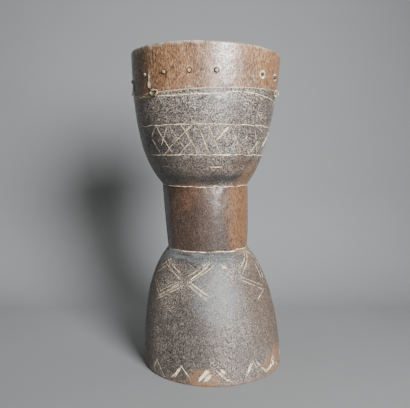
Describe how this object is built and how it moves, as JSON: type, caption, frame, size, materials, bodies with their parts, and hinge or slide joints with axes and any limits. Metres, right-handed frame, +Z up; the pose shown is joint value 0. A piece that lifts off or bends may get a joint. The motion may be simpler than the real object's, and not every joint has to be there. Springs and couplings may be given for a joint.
{
  "type": "ceremonial ritual drum",
  "caption": "Tall goblet drum carved from a log, hollow right through, with a flared bowl, narrow waist and bell foot, incised bands, and wooden pegs below the bare rim.",
  "frame": {"origin": "centre of the drum's bounding box at the ground, in the plane that the foot stands on", "axes": "+Z up along the drum, from the foot to the rim; -Y is the side that the picture shows, and +X is to its right"},
  "size_m": [0.2872, 0.28, 0.5892],
  "materials": {
    "log_wood": "old dark hardwood, stained black and grey on the carved zones, worn red-brown on the top band, waist and foot edge",
    "peg_wood": "bare wooden pegs, dark ends",
    "rawhide": "dry cream rawhide, untanned"
  },
  "bodies": {
    "root": {"drum_body": "log_wood", "peg_01": "peg_wood", "peg_02": "peg_wood", "peg_03": "peg_wood", "peg_04": "peg_wood", "peg_05": "peg_wood", "peg_06": "peg_wood", "peg_07": "peg_wood", "peg_08": "peg_wood", "peg_09": "peg_wood", "peg_10": "peg_wood", "peg_11": "peg_wood", "peg_12": "peg_wood", "peg_13": "peg_wood", "peg_14": "peg_wood", "peg_15": "peg_wood", "peg_16": "peg_wood", "hide_strip_left": "rawhide", "hide_strip_front": "rawhide", "hide_loop_left": "rawhide", "hide_loop_right": "rawhide"}
  },
  "joints": []
}
